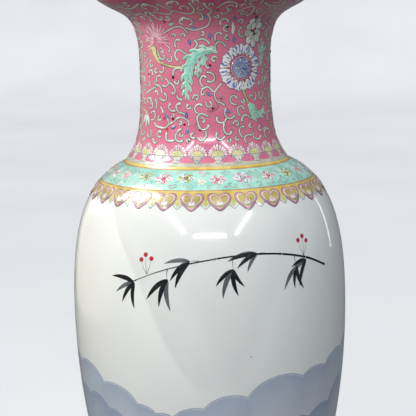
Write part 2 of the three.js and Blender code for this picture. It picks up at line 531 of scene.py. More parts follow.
def curl(length, bend, ahead, tightening):
    """A tendril that starts straight ahead and winds in towards its end."""
    share = np.linspace(0, 1, 26)
    heading = np.radians(ahead + bend * share**tightening)
    step = length / 25
    x = np.concatenate([[0], np.cumsum(np.cos(heading[1:]) * step)])
    y = np.concatenate([[0], np.cumsum(np.sin(heading[1:]) * step)])
    return np.stack([x, y], axis=1)


def scroll(length, bend, same_way):
    """A tendril that winds in at both ends, the same way round or opposite ways."""
    share = np.linspace(-1, 1, 41)
    wound = np.abs(share) ** 1.7 * (np.sign(share) if same_way else 1)
    heading = np.radians(90 + bend * wound)
    step = length / 40
    x = np.cumsum(np.cos(heading) * step)
    y = np.cumsum(np.sin(heading) * step)
    return np.stack([x - x[20], y - y[20]], axis=1)


width_shapes = {
    "even": lambda share: np.ones_like(share),
    "lens": lambda share: np.sin(np.pi * share) ** 0.7,
    "leaf": lambda share: np.sin(np.pi * share**0.7) ** 0.8,
    "petal": lambda share: 0.25 + 0.75 * np.sin(0.5 * np.pi * np.clip(share * 1.25, 0, 1)),
    "taper": lambda share: 1 - 0.85 * share,
}
cross_places = np.array([-1, -0.88, -0.45, 0, 0.45, 0.88, 1])
cross_drops = np.array([0, 0.05, 0.01, 0, 0.01, 0.05, 0])
cross_edges = np.abs(cross_places) == 1


def rounded(distance, radius):
    share = np.clip(distance / max(radius, 0.02), 0, 1)
    return np.sqrt(1 - (1 - share) ** 2)


class Layer:
    """Raised enamel of one colour, gathered from many strokes and patches into one piece."""

    def __init__(self, name, colour):
        self.name = name
        self.colour = colour
        self.top = ground_thickness
        self.points = []
        self.faces = {}
        self.count = 0

    def add(self, points, faces):
        self.points.append(points)
        for group in faces:
            self.faces.setdefault(group.shape[1], []).append(group + self.count)
        self.count += len(points)

    def lift(self):
        """The height of the next shape, a hair above or below the last so that crossings stay clean."""
        return self.top + shape_step * (len(self.points) % 9)

    def stroke(self, path, width, shape="even", bulb=0.0, margin=0.0):
        """A line of enamel along a path. A bulb swells its start, and a margin widens it as an outline."""
        degrees, arc = path.T
        stretch = np.radians(radius_on(arc))
        apart = np.hypot(np.diff(degrees) * stretch[1:], np.diff(arc))
        along = np.concatenate([[0], np.cumsum(apart)])
        length = along[-1]
        tips = width / 2 * width_shapes[shape](np.array([0.0, 1.0])) * [1 + bulb, 1]
        caps = np.maximum(tips, 0.15) + margin
        fine = np.array([0, 0.06, 0.25, 0.6, 1.0])
        even = np.linspace(-margin, length + margin, max(4, int(length / stroke_step)))
        stations = np.concatenate([fine * caps[0] - margin, even, length + margin - fine * caps[1]])
        stations = np.unique(np.round(np.clip(stations, -margin, length + margin), 3))
        inside = np.clip(stations, 0, length)
        half = width / 2 * width_shapes[shape](inside / length)
        if bulb:
            half *= 1 + bulb * np.exp(-(((inside - 0.55 * width) / (0.6 * width)) ** 2))
        half = (half + margin) * rounded(stations + margin, caps[0])
        half = np.maximum(half * rounded(length + margin - stations, caps[1]), 0.02)
        here_degrees = np.interp(inside, along, degrees)
        here_arc = np.interp(inside, along, arc)
        here_stretch = np.radians(radius_on(here_arc))
        before, after = np.clip(inside - 0.4, 0, length), np.clip(inside + 0.4, 0, length)
        east = (np.interp(after, along, degrees) - np.interp(before, along, degrees)) * here_stretch
        north = np.interp(after, along, arc) - np.interp(before, along, arc)
        size = np.hypot(east, north)
        east, north = east / size, north / size
        past = stations - inside
        sideways = half[:, None] * cross_places
        x = (east * past)[:, None] - north[:, None] * sideways
        y = (north * past)[:, None] + east[:, None] * sideways
        lifts = np.where(cross_edges, sunk_lift, self.lift() - cross_drops)
        grid_degrees = here_degrees[:, None] + x / here_stretch[:, None]
        points = on_surface(grid_degrees, here_arc[:, None] + y, np.tile(lifts, (len(stations), 1)))
        across = len(cross_places)
        rows = np.arange(len(stations) - 1)[:, None] * across
        j = np.arange(across)
        k = (j + 1) % across
        quads = np.stack([rows + j, rows + across + j, rows + across + k, rows + k], axis=-1).reshape(-1, 4)
        last = (len(stations) - 1) * across
        self.add(points.reshape(-1, 3), [quads, np.array([j[::-1], last + j])])

    def patch(self, spot, outline, grow=0.0):
        """A filled shape inside a closed outline in the spot's millimetres."""
        path = spot.path(outline)
        stretch = math.radians(radius_on(path[:, 1].mean()))
        flat = path * [stretch, 1]
        ahead = np.roll(flat, -1, axis=0)
        if np.sum(flat[:, 0] * ahead[:, 1] - ahead[:, 0] * flat[:, 1]) < 0:
            flat = flat[::-1]
        centre = flat.mean(axis=0)
        out = flat - centre
        size = np.hypot(*out.T)
        out = out * ((size + grow) / size)[:, None]
        mean = size.mean() + grow
        top = self.lift()
        shoulder = 1 - min(0.35, 0.3 / mean)
        rings = [(1, sunk_lift), (1 - min(0.15, 0.08 / mean), top - 0.05), (shoulder, top - 0.005)]
        if mean > 1.5:
            rings += [(shoulder * 0.66, top), (shoulder * 0.33, top)]
        points = []
        for share, lift in [*rings, (0, top), (0.5, sunk_lift), (0, sunk_lift)]:
            ring = (centre + out * share)[: 1 if share == 0 else None] / [stretch, 1]
            points.append(on_surface(ring[:, 0], ring[:, 1], lift))
        starts = np.cumsum([0] + [len(ring) for ring in points])
        j = np.arange(len(out))
        k = (j + 1) % len(out)
        pairs = zip(starts, starts[1 : len(rings)])
        quads = [np.stack([a + j, a + k, b + k, b + j], axis=1) for a, b in pairs]
        last, middle, below, deep = starts[len(rings) - 1 : len(rings) + 3]
        quads.append(np.stack([k, j, below + j, below + k], axis=1))
        fans = [np.stack([last + j, last + k, np.full(len(j), middle)], axis=1)]
        fans.append(np.stack([below + k, below + j, np.full(len(j), deep)], axis=1))
        self.add(np.vstack(points), [np.vstack(quads), np.vstack(fans)])

    def finish(self):
        groups = [np.vstack(group) for group in self.faces.values()]
        mesh_object(self.name, np.vstack(self.points), groups, self.colour)


layers = {}


def ink(group, colour, level):
    """The layer of a colour in a group of motifs, set to draw at a level above the ground."""
    key = f"{group}_{colour}"
    if key not in layers:
        layers[key] = Layer(key, colour)
    layers[key].top = ground_thickness + level_step * level
    return layers[key]


def edged(group, edge, colour, level, path, width, shape, margin, bulb=0.0, rise=1):
    """A stroke on a wider one that shows round it as its edge."""
    ink(group, edge, level).stroke(path, width, shape, bulb, margin)
    ink(group, colour, level + rise).stroke(path, width, shape, bulb)


def nested(group, spot, outline, bands):
    """A shape in bands of colour, each with its level and how far in from the shape's edge it starts."""
    for colour, level, inset in bands:
        ink(group, colour, level).patch(spot, shrunk(outline, inset))


def polar(radius, degrees):
    """The place at a distance from the middle, at an angle clockwise from straight up."""
    angle = math.radians(degrees)
    return np.array([radius * math.sin(angle), radius * math.cos(angle)])


def turned_by(points, degrees):
    """Points turned clockwise about the middle."""
    return points[:, :1] * polar(1, degrees + 90) + points[:, 1:] * polar(1, degrees)


def circle(radius, count, x=0.0, y=0.0):
    angle = np.linspace(0, 2 * math.pi, count, endpoint=False)
    return np.stack([x + radius * np.cos(angle), y + radius * np.sin(angle)], axis=1)


def mirrored(half):
    """A closed outline from its right half, given from the top to the tip."""
    right = smooth_line(half)
    left = right[-2:0:-1] * [-1, 1]
    return np.vstack([right, left])


def shrunk(outline, distance):
    """An outline drawn in by about a distance all round."""
    centre = outline.mean(axis=0)
    out = outline - centre
    size = np.hypot(*out.T)[:, None]
    return centre + out * np.clip((size - distance) / size, 0.05, None)


# Where the enamel is already drawn on, in cells of a fraction of a degree and of a millimetre

cells_per_degree = 4
cells_per_mm = 2
busy = np.zeros((360 * cells_per_degree, int(line_arc[-1] * cells_per_mm) + 1), bool)


def claim(path, room=2.5):
    """Marks the neighbourhood of a path as drawn on, so that the filling scrolls keep off it."""
    for degrees, arc in path[::2]:
        stretch = math.radians(float(radius_on(arc)))
        wide = math.ceil(room / stretch * cells_per_degree)
        high = math.ceil(room * cells_per_mm)
        across = np.arange(-wide, wide + 1)
        up = np.arange(-high, high + 1)
        near = np.hypot(across[:, None] * stretch / cells_per_degree, up / cells_per_mm) <= room
        columns = (round(degrees * cells_per_degree) + across) % busy.shape[0]
        rows = np.clip(round(arc * cells_per_mm) + up, 0, busy.shape[1] - 1)
        busy[np.ix_(columns, rows)] |= near


def is_free(path):
    columns = np.round(path[:, 0] * cells_per_degree).astype(int) % busy.shape[0]
    return not busy[columns, np.round(path[:, 1] * cells_per_mm).astype(int)].any()


def is_within(path, heights):
    """Whether a path stays between two heights."""
    low, high = (float(arc_at(height)) for height in heights)
    return path[:, 1].min() > low and path[:, 1].max() < high


# The border of heart shaped cloud heads, with a lappet behind each gap

heart_count = 28
heart_middle = 448.4
first_heart = 5.4


def heart(spot, group):
    """A heart with a mauve edge, two curled lobes and a tuft of white petals on an olive ground."""
    outline = mirrored([(0, 4.6), (1.3, 6.2), (4.0, 7.5), (7.2, 7.0), (9.2, 4.6), (9.2, 1.6), (7.6, -1.8),
                        (5.0, -4.8), (2.4, -7.2), (0, -8.3)])
    nested(group, spot, outline, (("dark", 3, 0.0), ("mauve", 4, 0.3), ("white", 5, 1.9), ("olive", 6, 2.5)))
    lobe = np.array([(0.5, 1.6), (1.5, 3.8), (3.9, 4.7), (6.0, 3.2), (5.6, 1.2), (3.9, 1.4)])
    edge = np.array([(6.0, -0.4), (4.0, -3.0), (1.6, -5.2)])
    for side in (-1, 1):
        ink(group, "mauve", 7).stroke(spot.curve(lobe * [side, 1]), 0.8, "taper", 0.3)
        ink(group, "dark", 7).stroke(spot.curve(edge * [side, 1]), 0.35, "lens")
        ink(group, "yellow_green", 7).patch(spot, circle(0.7, 12, side * 4.4, -0.9))
    for lean, long in ((-64, 3.6), (64, 3.6), (-34, 4.6), (34, 4.6), (0, 5.4)):
        petal = spot.path([polar(share * long, lean) + [0, -3.4] for share in (0, 0.55, 1)])
        edged(group, "mauve", "white" if lean else "pale_pink", 8, petal, 1.5, "leaf", 0.22)


def lappet(spot, group):
    """The pointed end of a leaf that shows between two hearts, with a dark edge and a pale green line."""
    outline = mirrored([(0, 4.0), (5.5, 3.6), (6.9, 0.6), (5.6, -1.5), (2.6, -4.4), (0.8, -6.2), (0, -6.7)])
    bands = (("outline", -1, 0.0), ("white", -0.4, 0.4), ("moss", 0.2, 1.3), ("yellow_green", 0.8, 1.65))
    nested(group, spot, outline, bands)
    vein = spot.path([(0, 1.5), (0.1, -1.6), (0, -3.8)])
    ink(group, "ochre", 1.4).stroke(vein, 1.4, "lens")


def add_heart_border():
    step = 360 / heart_count
    for index in range(heart_count):
        middle = first_heart + step * index
        lappet(Spot(middle + step / 2, heart_middle), "heart_border")
        heart(Spot(middle, heart_middle), "heart_border")


# The band of flowers and scrolls on turquoise


def band_flower(spot, group, petals, curls, middle, size):
    """A little flower of broad pale petals, each with a curl of stronger colour, round a dotted middle."""
    count = 6
    for index in range(count):
        around = 360 / count * index + 30
        root, mid, tip = (polar(size * share, around) * [1.08, 0.84] for share in (0.1, 0.3, 0.46))
        path = spot.path([root, mid, tip])
        edged(group, "moss", petals[index % len(petals)], 2, path, size * 0.27, "petal", 0.3)
        comma = turned_by(curl(size * 0.36, -170, 100, 1.6), around) + polar(size * 0.2, around)
        ink(group, curls, 4).stroke(spot.path(comma * [1.08, 0.84]), size * 0.07, "taper")
        claim(path, 2.7)
    ink(group, curls, 4).patch(spot, circle(size * 0.13, 14))
    ink(group, middle, 5).patch(spot, circle(size * 0.085, 14))


# Each flower's angle, height, width, petal colours, curls and middle
band_flowers = [
    (-68, 463.4, 13, ("white", "lilac"), "pink", "yellow"),
    (-54.4, 463.6, 13, ("pale_pink", "white"), "pink", "yellow"),
    (-37.3, 464.2, 14, ("yellow_green", "scroll_pale"), "outline", "olive"),
    (-25.2, 463.4, 16, ("pale_pink", "white"), "red", "pink"),
    (-12, 464.2, 14, ("yellow_green", "white"), "ink", "olive"),
    (-3.3, 461.8, 9, ("scroll_pale", "white"), "moss", "yellow"),
    (5.6, 463, 14, ("white", "pale_pink"), "red", "pink"),
    (20.1, 463.6, 17, ("white", "pale_pink"), "blue", "yellow_green"),
    (36.5, 463.4, 14, ("white", "pale_pink"), "crimson", "pink"),
    (52, 463.4, 15, ("scroll_pale", "yellow_green"), "outline", "olive"),
    (66, 463.6, 13, ("pale_pink", "white"), "crimson", "yellow"),
    (80, 463.4, 13, ("white", "lilac"), "blue", "yellow_green"),
    (95, 463.6, 13, ("yellow_green", "white"), "red", "olive"),
]


def add_band_flowers():
    group = "turquoise_band"
    for half in (0, 180):
        for degrees, height, size, petals, curls, middle in band_flowers:
            band_flower(Spot(degrees + half, height), group, petals, curls, middle, size)
    draw = random.Random(5)
    band = (turquoise_low + 0.9, turquoise_high - 1)
    for length in (26, 20, 15, 12, 9.5, 7.5, 6, 4.5):
        for attempt in range(3000):
            degrees, height, turn = draw.uniform(-180, 180), draw.uniform(*band), draw.uniform(0, 360)
            spot = Spot(degrees, height, turn, draw.random() < 0.5)
            if length > 12:
                path = spot.path(scroll(length, draw.uniform(200, 260), draw.random() < 0.6))
            else:
                path = spot.path(curl(length, draw.uniform(250, 310), 90, 1.5))[::-1]
            if is_within(path, band) and is_free(path):
                colour = draw.choice(("scroll_pale", "scroll_pale", "white", "pale_pink"))
                edge = draw.choice(("grey_ink", "mauve", "outline", "moss"))
                edged(group, edge, colour, 1, path, 0.6, "even", 0.28, rise=0.6)
                claim(path, 1.1)


# The fans that stand round the foot of the neck

fan_count = 24
first_fan = 8.0


def fan(spot, group, draw):
    """Half a flower over a dotted cup on a waisted foot. The rose ground shows between one and the next."""
    cup = mirrored([(0, 0.4), (4.6, 0.2), (6.7, -0.9), (5.8, -2.1), (4.0, -3.3), (2.4, -4.7), (0, -5.4)])
    foot = mirrored([(0, -3.9), (1.9, -4.5), (2.3, -5.8), (4.0, -7.3), (0, -7.8)])
    for colour, level, grow in (("outline", 1, 0.28), ("grey_white", 2, 0.0)):
        for outline in (cup, foot):
            ink(group, colour, level).patch(spot, outline, grow)
    petals = 11
    for index in range(petals):
        lean = -84 + 168 * index / (petals - 1)
        far = 9.6 - 1.7 * abs(math.sin(math.radians(lean)))
        path = spot.path([polar(share * far, lean) + [0, -0.9] for share in (0.42, 0.75, 1)])
        edged(group, "crimson", "white" if index % 3 else "pale_pink", 2, path, 2.0, "petal", 0.24)
        inner = spot.path([polar(share * far, lean) + [0, -0.9] for share in (0.5, 0.88)])
        ink(group, "pink", 4).stroke(inner, 0.6, "lens")
    dome = mirrored([(0, 3.4), (2.4, 2.9), (4.3, 1.3), (5.0, -0.7), (2.6, -1.5), (0, -1.7)])
    ink(group, "dark", 4).patch(spot, dome, 0.28)
    ink(group, "yellow_green", 5).patch(spot, dome)
    for index in range(7):
        lean = -72 + 24 * index
        ray = spot.path([polar(share, lean) * [1.15, 0.8] + [0, -0.9] for share in (1.6, 3.9)])
        ink(group, ("white", "olive")[index % 2], 6).stroke(ray, 0.6, "lens")
    for x, y, colour in ((-5.4, -1.3, "blue"), (5.4, -1.3, "blue"), (-3.4, -2.6, "blue_grey"),
                         (3.4, -2.6, "blue_grey"), (-1.1, -3.3, "yellow"), (1.1, -3.3, "yellow"),
                         (0, -4.9, "blue_grey"), (-1.6, -6.4, "olive"), (1.6, -6.4, "blue_grey")):
        ink(group, colour, 3).patch(spot, circle(0.75, 10, x, y + draw.uniform(-0.2, 0.2)))
    ink(group, "white", 3.5).stroke(spot.path([(-5.2, -0.7), (0, -2.2), (5.2, -0.7)]), 0.6)
    claim(spot.path([(-6, 2), (-3, 7), (0, 8), (3, 7), (6, 2)]), 3)


def base_dots():
    """A row of small dots on the grey band under the fans."""
    height = 0.5 * (neck_band_high + base_band_high)
    count = 150
    for index in range(count):
        colour = ("blue_grey", "yellow_green", "moss")[index % 3]
        spot = Spot(360 / count * index, height + (0.5 if index % 2 else -0.5))
        ink("neck_border", colour, 0.5).patch(spot, circle(0.45, 8))


def add_fans():
    draw = random.Random(3)
    for index in range(fan_count):
        fan(Spot(first_fan + 360 / fan_count * index, 480.6), "neck_border", draw)
    base_dots()


# The neck's scrolling flowers


def vine(path, colour="scroll_pale", width=1.35, bulb=0.7, group="neck_vines"):
    edged(group, "outline", colour, 1, path, width, "even", 0.5, bulb)
    claim(path)


# Tendrils as chart places, from the rolled end
tendrils = [
    [(-31, 521), (-33, 518), (-30, 515), (-26, 515)],
    [(-21, 521), (-25, 520), (-25.5, 517), (-23, 514), (-20, 513.5), (-17.5, 512)],
    [(-20, 524), (-24, 525), (-25, 528)],
    [(-3, 519), (-5, 520.8), (-9, 518.5), (-9, 515), (-6.5, 513)],
    [(2.5, 504), (0, 501), (-4, 500.5), (-6, 503), (-7, 507), (-7.5, 510), (-4.5, 513), (0, 511.5),
     (2, 510.5)],
    [(-7, 494.5), (-5, 492), (-2, 492.5), (0, 496.5), (-1, 499)],
    [(-34, 498), (-34.5, 495), (-33, 491.5), (-29, 491), (-26, 492)],
    [(-19, 492), (-21.5, 490.5), (-25, 492.5), (-25.5, 496), (-23.5, 499), (-20, 501)],
    [(-48, 493), (-47.5, 490), (-44.5, 488.5), (-42, 491)],
    [(-48.5, 524), (-46, 521), (-47, 516)],
    [(-39, 513), (-39.5, 516), (-42, 518)],
    [(-49, 539), (-47, 535.5), (-44, 535), (-41, 533), (-40.5, 529)],
    [(-62, 528), (-58, 530), (-53, 532), (-47, 534)],
    [(-36, 541), (-33.5, 539), (-33, 536.5), (-36, 534.5), (-40, 535)],
    [(-30, 529), (-27, 529.5), (-26.5, 532), (-29, 536), (-33, 538)],
    [(-28, 543.5), (-28, 547), (-25, 549), (-20, 549)],
    [(1, 541.5), (-2, 543), (-4.5, 539), (-2.5, 534)],
    [(-1, 529), (-3.5, 528), (-3, 532), (2, 534), (7, 530)],
    [(24, 511), (23, 509), (19, 508.5), (15.5, 512), (17, 517)],
    [(9.5, 510.5), (8.5, 508), (11, 505.5), (15, 506), (17, 509)],
    [(21, 498.5), (19, 496), (15.5, 497), (14, 501), (15, 505)],
    [(8.5, 498), (7.5, 494.5), (11, 492), (15, 494.5)],
    [(34, 515), (31, 518), (27.5, 516), (28, 511.5), (30, 510)],
    [(31, 505), (31.5, 509), (35, 510.5), (39, 508.5), (41, 507)],
    [(33, 501), (30, 501.5), (27.5, 498.5), (28.5, 494.5), (30.5, 493)],
    [(39, 494), (36, 494.5), (32.5, 493.5), (31.5, 490.5), (33, 488)],
    [(49, 493), (47, 490.5), (43.5, 490.5), (40.5, 493), (41, 497)],
    [(45, 522), (47, 522.5), (48, 526), (46, 528)],
    [(53, 529), (52, 525), (55, 522), (58, 525), (57, 529)],
    [(-20, 570.5), (-22, 572), (-25, 570), (-24.5, 565.5)],
    [(-23, 555), (-25.5, 558), (-25, 562), (-21.5, 563.8), (-17, 561), (-14, 558.5)],
    [(-9, 563.5), (-6, 568), (-8.5, 571.5)],
    [(2.5, 568), (3.5, 569), (1, 571), (-2, 572), (-6, 571)],
    [(-31, 561.5), (-30.5, 565), (-33, 567)],
    [(-38, 551), (-37.5, 547.5), (-40, 545.5), (-42.5, 547)],
    [(14, 575), (12, 577), (9, 575.5), (8.5, 572), (9.5, 570)],
    [(9, 563), (8.5, 565.5), (10, 568.5), (13, 569.5), (16.5, 567), (17.5, 565)],
    [(13, 582.5), (12, 585), (14, 587.5), (17, 587), (19, 584.5)],
    [(31, 581), (28.5, 578), (29, 575), (31.5, 573), (35, 575)],
    [(4, 551), (2, 549), (0, 553), (1, 556)],
    [(-52, 556), (-55, 553), (-53, 550), (-50, 552)],
    [(-58, 549), (-60, 553), (-57, 557)],
]

# Scrolls under the lip, in a greyer green
rim_scrolls = [
    [(-8, 600), (-6, 595), (-9, 592), (-15, 593), (-20, 594.5), (-24, 592), (-30, 593), (-36, 594)],
    [(-27, 600), (-23, 597), (-20, 594.5)],
    [(-4, 587.5), (-1, 588), (-2, 592), (-5, 593.5)],
    [(32, 589), (34.5, 592), (32, 596.5), (28, 596.5), (25, 594.5), (22, 593)],
    [(-44, 586), (-43, 590), (-48, 593), (-55, 592), (-60, 594)],
    [(-62, 599), (-52, 597), (-45, 598), (-38, 600.5)],
    [(8, 596), (12, 600), (18, 599.5), (20, 596)],
    [(36, 599.5), (42, 597.5), (49, 597), (55, 599)],
    [(45, 588), (48, 592), (54, 594), (60, 597)],
    [(0, 600), (2, 596.5), (5, 594.5), (3, 591)],
    [(66, 590), (62, 587), (64, 583)],
]

# White and pink stems, from the thick end
twigs = [
    [(-14, 503), (-15, 507), (-19, 509.5), (-24, 509.5), (-28, 506)],
    [(-34, 510), (-33, 507), (-32, 504.5), (-28, 506)],
    [(-48.5, 505), (-45, 502), (-38, 501), (-35, 502), (-32, 504.5)],
    [(14, 537), (8, 530), (7.5, 527), (9, 523), (13, 521), (16, 519)],
    [(-34, 577), (-30, 579), (-24, 581.5), (-18, 581.5), (-14.5, 578.5), (-13, 576)],
    [(-15, 581), (-8, 579), (0, 581), (3, 583), (4.5, 588), (2, 592)],
]
pink_twigs = [
    [(9, 523), (10, 518), (5, 515), (1.5, 515)],
    [(-9, 505), (-7.5, 501.5), (-5, 500)],
]

# Blue leaves as chart places with a lean, and berries as chart places with a colour
blue_leaves = [
    (-17, 511.5, 80), (-16.5, 499, 70), (-30, 503.5, 20), (-34.5, 510, 100), (5, 529, 150), (16.5, 518, -40),
    (-12.5, 574, -80), (-11, 582.5, 10), (1.5, 590, 120), (4.5, 578.5, -90), (23, 588, 100), (24.5, 575, -80),
]
berries = [
    (-28.5, 509, "crimson"), (-18, 504.5, "crimson"), (-33.5, 500.5, "red"), (-37, 509, "red"),
    (-5, 500, "crimson"), (6, 517, "crimson"), (4, 551, "crimson"), (-28, 541.8, "ink"),
    (-31, 586, "crimson"), (18.5, 581, "dark"), (9, 594.5, "ink"), (38, 591, "ink"),
    (-57, 544, "crimson"), (45, 568, "crimson"),
]


def leaf(spot, group, colour, length, width, vein, edge="outline"):
    """A pointed leaf that starts at the spot and grows up."""
    path = spot.curve([(0, 0), (0.06 * length, 0.5 * length), (-0.04 * length, length)])
    edged(group, edge, colour, 2, path, width, "leaf", 0.3)
    ink(group, vein, 4).stroke(path[2:-3], 0.3, "taper")
    claim(path)


def aster(spot, group):
    """A round flower of broad split petals streaked with blue, about a ring of points and a mottled eye."""
    draw = random.Random(8)
    petals = 14
    root, tip = 10.4, 19.6
    for index in range(petals):
        middle = 360 / petals * index + draw.uniform(-2.5, 2.5)
        fingers = []
        for lean in (-8.2, 0, 8.2):
            far = tip - draw.uniform(0, 2.6)
            halfway = polar(0.5 * (root + far), middle + 0.9 * lean)
            start, end = polar(root, middle + 0.75 * lean), polar(far, middle + 1.1 * lean)
            fingers.append(spot.path([start, halfway, end]))
        for path in fingers:
            ink(group, "dark", 2).stroke(path, 3.7, "petal", margin=0.35)
            claim(path, 3.4)
        for path in fingers:
            ink(group, "white", 3).stroke(path, 3.7, "petal")
        for lean in (-5.0, 3.6):
            low, high = draw.uniform(11.5, 13.5), draw.uniform(15.5, 18.5)
            streak = spot.path([polar(low, middle + lean), polar(high, middle + 1.2 * lean)])
            ink(group, draw.choice(("blue", "blue_grey")), 4).stroke(streak, draw.uniform(0.9, 1.7), "lens")
        lean = draw.uniform(-9, 9)
        patch = spot.path([polar(draw.uniform(14, 15.5), middle + lean), polar(18.4, middle + lean)])
        ink(group, "blue", 4).stroke(patch, draw.uniform(1.4, 2.6), "lens")
        shade = spot.path([polar(11, middle), polar(14.5, middle)])
        ink(group, "lilac", 4).stroke(shade, 1.0, "lens")
    ring = 20
    tones = (("crimson", 5, 12, 2.3, 0.25), ("pink", 6, 11.6, 1.5, 0.0))
    for index in range(ring):
        angle = 360 / ring * index
        for colour, level, far, width, margin in tones:
            point = spot.path([polar(9, angle), polar(far, angle)])
            ink(group, colour, level).stroke(point, width, "taper", margin=margin)
    for colour, level, radius in (("pale_pink", 7, 9.2), ("dark", 8, 8.8), ("blue_grey", 9, 8.5)):
        ink(group, colour, level).patch(spot, circle(radius, 40))
    dots = 110
    for index in range(dots):
        far = 8.1 * math.sqrt((index + 0.5) / dots)
        x, y = polar(far, 137.5 * index)
        colour = draw.choice(("blue", "blue_grey", "lilac", "lilac", "white", "grey_white"))
        ink(group, colour, 10).patch(spot, circle(draw.uniform(0.35, 0.8), 8, x, y))


def chrysanthemum(spot, group):
    """A spiky flower of narrow pink petals, open upwards."""
    draw = random.Random(4)
    rings = ((19, 3.4, 17, 1.7, "pale_pink"), (15, 2.8, 12.6, 1.8, "pink"), (11, 1.8, 8.4, 1.7, "pale_pink"))
    for level, (count, near, far, width, colour) in enumerate(rings):
        for index in range(count):
            around = -125 + 240 * (index + draw.uniform(-0.15, 0.15)) / (count - 1)
            bent = around + draw.uniform(-7, 7)
            long = far * draw.uniform(0.85, 1.05)
            path = spot.curve([polar(near, around), polar(0.6 * long, bent), polar(long, around)])
            edged(group, "crimson", colour, 2 + level, path, width, "leaf", 0.16)
            claim(path)
    for x in (-5.0, 6.5):
        path = spot.curve([(0.4 * x, -5), (x, -8), (0.9 * x, -13)])
        edged(group, "crimson", "white", 4, path, 1.2, "lens", 0.3)


def bell_flower(spot, group):
    """Hanging white petals under a thick green stem."""
    for x, long, bend in ((-3.2, 8, -1.2), (0.2, 11, 0.2), (3.4, 9.5, 1.6)):
        path = spot.curve([(x * 0.4, 0), (x + bend * 0.4, -0.55 * long), (x + bend, -long)])
        edged(group, "outline", "white", 2, path, 3.4, "leaf", 0.35)
        ink(group, "lilac", 4).stroke(path[3:-2], 0.5, "lens")
        claim(path)
    stem = spot.curve([(1.2, -0.6), (-2.0, 1.8), (-6.5, 4.2), (-11, 6.8)])
    edged(group, "outline", "yellow_green", 2, stem, 2.6, "taper", 0.3)
    claim(stem)


# The peony's petals, as the place of each one's root, its lean, length and width
peony_petals = [
    (-1, 3, -32, 8.5, 6.6), (1, 4, 20, 8.0, 6.0), (-2, 1.5, -72, 6.5, 6.4), (2, 2.5, 58, 7.0, 6.8),
    (-2, -1, -112, 7.0, 6.2), (3, -1, 100, 6.0, 6.6), (-1, -3, -152, 8.5, 6.6), (1, -4, 172, 9.5, 6.4),
    (2.5, -3, 134, 7.5, 6.2), (-0.5, 0.5, -12, 6.5, 5.6), (-0.5, -1, 200, 6.0, 5.6), (1, -0.5, 78, 5.0, 5.0),
]


def peony(spot, group):
    """A loose cluster of white petals with dark edges and crimson between them."""
    ink(group, "crimson", 2).patch(spot, circle(4.5, 24))
    for index, (x, y, lean, long, width) in enumerate(peony_petals):
        root = np.array([x, y])
        path = spot.curve([root, root + polar(0.55 * long, lean + 8), root + polar(long, lean)])
        level = 3 + index // 3
        colour = ("white", "grey_white", "scroll_pale")[index % 3]
        edged(group, "dark", colour, level, path, width, "petal", 0.42, rise=0.6)
        ink(group, "moss" if index % 2 else "mauve", level + 0.9).stroke(path[4:-4], 0.5, "lens")
        claim(path)
    ink(group, "ink", 8).patch(spot, circle(1.2, 12, -1.5, 12.5))
    ink(group, "red", 8).patch(spot, circle(1.3, 12, 0.6, 1.2))


def small_flower(spot, group, colour, middle):
    for index in range(5):
        path = spot.path([polar(far, 72 * index + 10) for far in (0.5, 1.8, 2.9)])
        edged(group, "crimson", colour, 2, path, 1.9, "petal", 0.22)
        claim(path)
    ink(group, middle, 4).patch(spot, circle(0.8, 12))


# Each curling leaf's rib as chart places from its root, its width, its longest lobe and its pairs of lobes
curling_leaves = [
    ([(11, 561), (3, 563), (-5, 561), (-11, 556.5), (-14.5, 549), (-15.5, 540), (-16, 532), (-17.5, 523)],
     7.2, 10.5, 8),
    ([(-2, 560.5), (-0.5, 556), (-4, 551.5)], 2.2, 5, 2),
    ([(-7, 558), (-5.5, 552), (-6, 546.5), (-8, 542)], 2.2, 5.5, 3),
    ([(39, 520.5), (42, 516), (45, 511), (50, 506)], 3.4, 8.5, 4),
    ([(46, 512), (51, 510.5), (56, 511), (60, 515)], 2.6, 6.5, 3),
    ([(54, 548), (57, 556), (56, 563), (58, 570)], 3.2, 8, 4),
    ([(57, 560), (62, 562), (66, 567)], 2.2, 5, 2),
]


def curling_leaf(rib, width, longest, pairs, group):
    """A leaf of rounded lobes that hook forward along its rib, pale along its edges and veined."""
    stretch = np.radians(radius_on(rib[:, 1]))
    lobes = []
    for index in range(pairs):
        for side in (-1, 1):
            share = (index + 0.6 + 0.2 * side) / (pairs + 0.5)
            root = int(share * (len(rib) - 1))
            ahead = rib[min(root + 3, len(rib) - 1)] - rib[max(root - 3, 0)]
            heading = math.degrees(math.atan2(ahead[1], ahead[0] * stretch[root]))
            long = longest * (0.5 + 0.5 * math.sin(math.pi * share**0.8))
            lobe = curl(long, side * -85, heading + side * 50, 2.4)
            lobes.append((lobe / [stretch[root], 1] + rib[root], 1.3 + 0.24 * long))
    parts = [(rib, width), *lobes]
    for path, wide in parts:
        ink(group, "outline", 1).stroke(path, wide, "leaf", margin=0.38)
        claim(path, 2.6)
    for path, wide in parts:
        ink(group, "scroll_pale", 2).stroke(path, wide, "leaf")
    for path, wide in parts:
        ink(group, "leaf_turquoise", 3).stroke(path[2:-3], wide * 0.62, "leaf")
    for path, wide in lobes:
        ink(group, "outline", 4).stroke(path[4:-8], 0.3, "taper")
    ink(group, "moss", 4).stroke(rib[3:-5], 0.5, "taper")
    ink(group, "white", 5).stroke(rib[2:-8] + [0.5, 0.5], 0.45, "taper")


